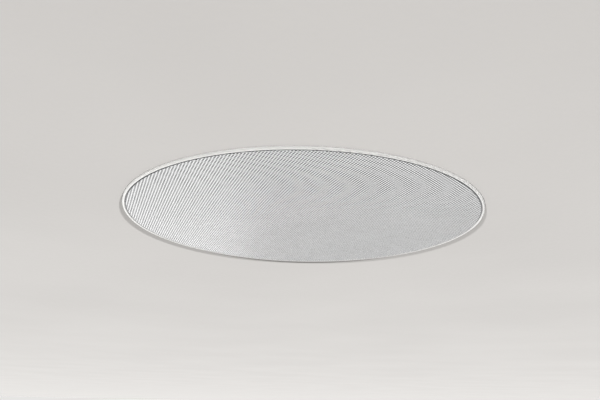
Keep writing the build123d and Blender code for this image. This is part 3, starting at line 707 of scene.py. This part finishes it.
def inductor_winding():
    """Air-core coil of round wire, turn beside turn on the bobbin."""
    low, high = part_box("inductor_coil")
    centre = (low + high) / 2
    outer = (high.z - low.z) / 2
    width = high.x - low.x
    wire = width / COIL_TURNS / 2
    bm = bmesh.new()
    bmesh.ops.create_circle(bm, cap_ends=False, segments=WIRE_FACETS, radius=wire)
    tilt = Matrix.Rotation(math.pi / 2, 4, "Z") @ Matrix.Rotation(math.pi / 2, 4, "X")
    bmesh.ops.transform(bm, matrix=tilt, verts=bm.verts)
    bmesh.ops.translate(bm, verts=bm.verts, vec=(low.x + wire, centre.y, centre.z + outer - wire))
    bmesh.ops.spin(
        bm, geom=bm.verts[:] + bm.edges[:], cent=centre, axis=(1, 0, 0), angle=FULL_TURN,
        steps=COIL_FACETS, use_merge=True,
    )
    bmesh.ops.remove_doubles(bm, verts=bm.verts, dist=MERGE_GAP)
    one_turn = bm.verts[:] + bm.edges[:] + bm.faces[:]
    for i in range(1, COIL_TURNS):
        verts = made(bmesh.ops.duplicate(bm, geom=one_turn), BMVert)
        bmesh.ops.translate(bm, verts=verts, vec=(2 * wire * i, 0, 0))
    # A plain core closes the coil behind the turns
    bmesh.ops.create_cone(
        bm, cap_ends=False, segments=COIL_FACETS, radius1=outer - wire, radius2=outer - wire,
        depth=width - wire,
        matrix=Matrix.Translation(centre) @ Matrix.Rotation(math.pi / 2, 4, "Y"),
    )
    bmesh.ops.recalc_face_normals(bm, faces=bm.faces)
    piece(bm, "inductor_winding", "copper", "speaker", "inductor_coil")


def board_tracks():
    """Copper tracks and solder joints on the crossover board's outer face, clear of the terminals."""
    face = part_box("crossover_board")[1].x
    lead_low, lead_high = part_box("component_leads")
    coil_low, coil_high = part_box("inductor_bobbin")
    terminal_low, terminal_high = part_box("terminal_block")
    low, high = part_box("crossover_resistor")
    reach = (lead_high.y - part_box("crossover_capacitor")[1].y) - JOINT_TIP * MM
    resistor_level = (low.z + high.z) / 2
    capacitor_end = (lead_low.y + JOINT_TIP * MM, lead_high.z - JOINT_TIP * MM)
    near_end = (low.y - reach, resistor_level)
    far_end = (high.y + reach, resistor_level)
    coil_middle = (coil_low.y + coil_high.y) / 2
    tails = [(coil_middle + side * TAIL_SPACING / 2 * MM, coil_low.z) for side in (-1, 1)]
    black_tab = (terminal_low.y * TAB_SHARE, terminal_low.z)
    red_tab = (terminal_high.y * TAB_SHARE, terminal_low.z)
    corner = (capacitor_end[0], black_tab[1] - TRACK_WIDTH * MM)
    runs = [
        (capacitor_end, corner),
        (corner, (black_tab[0], corner[1])),
        (black_tab, (black_tab[0], corner[1])),
        (far_end, tails[0]),
        (near_end, (near_end[0], corner[1])),
        (tails[1], (tails[1][0], red_tab[1])),
    ]
    tracks = bmesh.new()
    for order, (start, end) in enumerate(runs, 1):
        span = Vector(end) - Vector(start)
        height = TRACK_HEIGHT * order / len(runs) * MM
        turn = Matrix.Rotation(math.atan2(span.y, span.x), 4, "X")
        size = Matrix.Diagonal((height, span.length + TRACK_WIDTH * MM, TRACK_WIDTH * MM, 1))
        middle = (Vector(start) + Vector(end)) / 2
        place = Matrix.Translation((face + height / 2, middle.x, middle.y))
        bmesh.ops.create_cube(tracks, size=1.0, matrix=place @ turn @ size)
    piece(tracks, "board_tracks", "board", "speaker", look="track")
    joints = bmesh.new()
    for y, z in [capacitor_end, near_end, far_end] + tails:
        place = Matrix.Translation((face + JOINT_HEIGHT / 2 * MM, y, z))
        bmesh.ops.create_cone(
            joints, cap_ends=True, segments=JOINT_FACETS, radius1=JOINT_RADIUS * MM,
            radius2=JOINT_TIP * MM, depth=JOINT_HEIGHT * MM,
            matrix=place @ Matrix.Rotation(math.pi / 2, 4, "Y"),
        )
    piece(joints, "solder_joints", "tinned_brass", "speaker", look="solder")


def contact_spring(colour):
    """Folded spring strip under a lever, with a mesh of its own."""
    name = f"contact_spring_{colour}"
    obj = piece(merged_copy(name), f"folded_spring_{colour}", "spring_steel", "speaker", name)
    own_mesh(obj)


grille_sheet()
bezel()
surround()
spider()
clamp_screws()
inductor_winding()
board_tracks()
contact_spring("red")
contact_spring("black")

dress_turned("black_abs", "chassis", RIB_LIMIT)
dress_turned("foam", "woofer_gasket")
dress_turned("black_steel", "woofer_basket")
dress_turned("cone_poly", "woofer_cone")
dress_turned("plated_steel", "top_plate")
dress_turned("plated_steel", "pole_yoke")
dress_turned("ferrite", "ferrite_magnet")
dress("magnet_nickel", "grille_magnets", soften=0.3)
dress("black_screw", "basket_screws")
dress("former_paper", "voice_coil_former")
dress("copper", "voice_coil", "tweeter_coil")
dress("plated_steel", "tweeter_cup", "tweeter_pole_plate", soften=0.5)
dress("black_abs", "tweeter_post", "tweeter_faceplate")
dress("neodymium", "tweeter_magnet")
dress("silk", "tweeter_dome")
dress("terminal_black", "terminal_block", soften=0.3)
dress("board", "crossover_board")
dress("capacitor_film", "crossover_capacitor", soften=0.7)
dress("bobbin", "inductor_bobbin", soften=0.2)
dress("ceramic", "crossover_resistor", soften=0.5)
dress("lever_red", "terminal_lever_red", soften=0.4)
dress("lever_black", "terminal_lever_black", soften=0.4)
dress("phenolic", "tag_strip")
dress("tinned_brass", "solder_lugs", "component_leads")
dress("dog_nylon", *[f"mounting_dog_{number}" for number in CLAMPS], soften=0.4)


# Ceiling, light and camera

def ring_slab(bm, inner, low, high, shift=0.0):
    """A flat slab with a round hole, between two levels, out to the furthest ring."""
    hole = bmesh.ops.create_circle(
        bm, cap_ends=False, segments=BOARD_FACETS, radius=inner * MM,
        matrix=Matrix.Translation((0, shift * MM, low * MM)),
    )
    rim = list(dict.fromkeys(edge for vert in hole["verts"] for edge in vert.link_edges))
    underside = []
    radius = inner
    for reach in BOARD_RINGS:
        ring = bmesh.ops.extrude_edge_only(bm, edges=rim)
        rim = made(ring, BMEdge)
        underside += made(ring, BMFace)
        bmesh.ops.scale(bm, verts=made(ring, BMVert), vec=(reach / radius, reach / radius, 1))
        radius = reach
    top = made(bmesh.ops.extrude_face_region(bm, geom=underside), BMVert)
    bmesh.ops.translate(bm, verts=top, vec=(0, 0, (high - low) * MM))


def ceiling_board():
    """Painted ceiling with the round hole that the speaker sits in, plastered up to the bezel."""
    # Emulsion paint on plaster: warm pale grey, with the roller's faint stipple
    paint = finish("emulsion on plaster", ("#82807E", "#858381"), 260, 3.0, 0.008, (0.85, 0.92))
    # Lining paper on the board's hidden side: pale and dull
    paper = finish("plasterboard paper", ("#D1CEC8", "#D4D1CC"), 300, 1.5, 0.05, (0.85, 0.95))
    bm = bmesh.new()
    ring_slab(bm, BOARD_HOLE, 0, BOARD_THICKNESS)
    ring_slab(bm, cad_box[1].x / MM + PLASTER_GAP, -PLASTER_COAT, 0, PLASTER_SHIFT)
    bmesh.ops.recalc_face_normals(bm, faces=bm.faces)
    board = new_object(bm, "ceiling_board")
    board.data.materials.append(paint)
    board.data.materials.append(paper)
    for face in board.data.polygons:
        face.material_index = int(face.normal.z > LEVEL_FACE)
    return board


def room_light(below, above, near, far, backdrop):
    """Soft daylight, stronger from the floor and the far side.

    Seen directly, in gloss or through glass it is a pale backdrop.
    """
    world = bpy.data.worlds.new("room")
    world.use_nodes = True
    tree = world.node_tree
    tree.nodes.clear()
    way = add(tree, "SeparateXYZ", {0: add(tree, "TexCoord").outputs["Generated"]})
    shares = []
    for axis, blend, start, end in (("Z", LEVEL_BLEND, below, above), ("Y", DEPTH_BLEND, near, far)):
        share = add(
            tree,
            "MapRange",
            {
                "Value": way.outputs[axis],
                "From Min": -blend,
                "From Max": blend,
                "To Min": start,
                "To Max": end,
            },
        )
        shares.append(share.outputs[0])
    level = add(tree, "Math", {0: shares[0], 1: shares[1]}, operation="MULTIPLY")
    path = add(tree, "LightPath").outputs
    seen = add(tree, "Math", {0: path["Is Camera Ray"], 1: path["Is Glossy Ray"]}, operation="MAXIMUM")
    seen = add(tree, "Math", {0: seen.outputs[0], 1: path["Is Transmission Ray"]}, operation="MAXIMUM")
    strength = add(
        tree, "Mix", {FACTOR: seen.outputs[0], NUMBER_A: level.outputs[0], NUMBER_B: backdrop}
    )
    sky = add(tree, "Background", {"Color": linear("#FBFAF8"), "Strength": strength.outputs[0]})
    add(tree, "OutputWorld", {"Surface": sky.outputs[0]})
    bpy.context.scene.world = world


def soft_lamp(name, place, aim, size, power, spared=None):
    """A square soft box, not seen by the camera; one object may be spared its light."""
    lamp = bpy.data.lights.new(name, "AREA")
    lamp.shape = "SQUARE"
    lamp.size = size
    lamp.energy = power
    obj = bpy.data.objects.new(name, lamp)
    obj.location = place
    obj.rotation_euler = (Vector(aim) - Vector(place)).to_track_quat("-Z", "Y").to_euler()
    obj.visible_camera = False
    bpy.context.scene.collection.objects.link(obj)
    if spared:
        others = bpy.data.collections.new(name + "_spared")
        others.objects.link(spared)
        others.collection_objects[0].light_linking.link_state = "EXCLUDE"
        obj.light_linking.receiver_collection = others


def skimming_light(name, board, side, power):
    """Light that skims along the ceiling from the camera's side, for the shadow on the board alone."""
    lamp = bpy.data.lights.new(name, "SUN")
    lamp.energy = power
    lamp.angle = math.radians(SKIM_SOFTNESS)
    obj = bpy.data.objects.new(name, lamp)
    upwards = Matrix.Rotation(math.radians(90 + SKIM_HEIGHT), 4, "X")
    obj.matrix_world = Matrix.Rotation(math.radians(side), 4, "Z") @ upwards
    lit = bpy.data.collections.new(name + "_board")
    lit.objects.link(board)
    obj.light_linking.receiver_collection = lit
    bpy.context.scene.collection.objects.link(obj)


def photo_camera():
    """A camera that looks along Y, pitched up at the ceiling and rolled a little."""
    camera = bpy.data.cameras.new("camera")
    camera.lens = CAMERA_LENS
    camera.sensor_width = SENSOR_WIDTH
    camera.clip_start = CAMERA_NEAR * MM
    camera.clip_end = CAMERA_FAR * MM
    obj = bpy.data.objects.new("camera", camera)
    tilt = Matrix.Rotation(math.radians(90 + CAMERA_PITCH), 4, "X")
    roll = Matrix.Rotation(math.radians(CAMERA_ROLL), 4, "Z")
    obj.matrix_world = Matrix.Translation(Vector(CAMERA_PLACE) * MM) @ tilt @ roll
    bpy.context.scene.collection.objects.link(obj)
    bpy.context.scene.camera = obj


board = ceiling_board()
room_light(below=1.07, above=0.88, near=0.48, far=1.52, backdrop=0.83)
skimming_light("skim_right", board, side=26.0, power=24.6)
skimming_light("skim_left", board, side=-23.5, power=20.7)
soft_lamp("window_far", place=(-2.5, 9.7, -2.4), aim=(0, 0, 0), size=3.0, power=72, spared=board)
soft_lamp("lamp_above", place=(0.7, -0.9, 1.3), aim=(0, 0, 0.03), size=0.9, power=15)
photo_camera()
bpy.context.scene.view_settings.view_transform = "Standard"
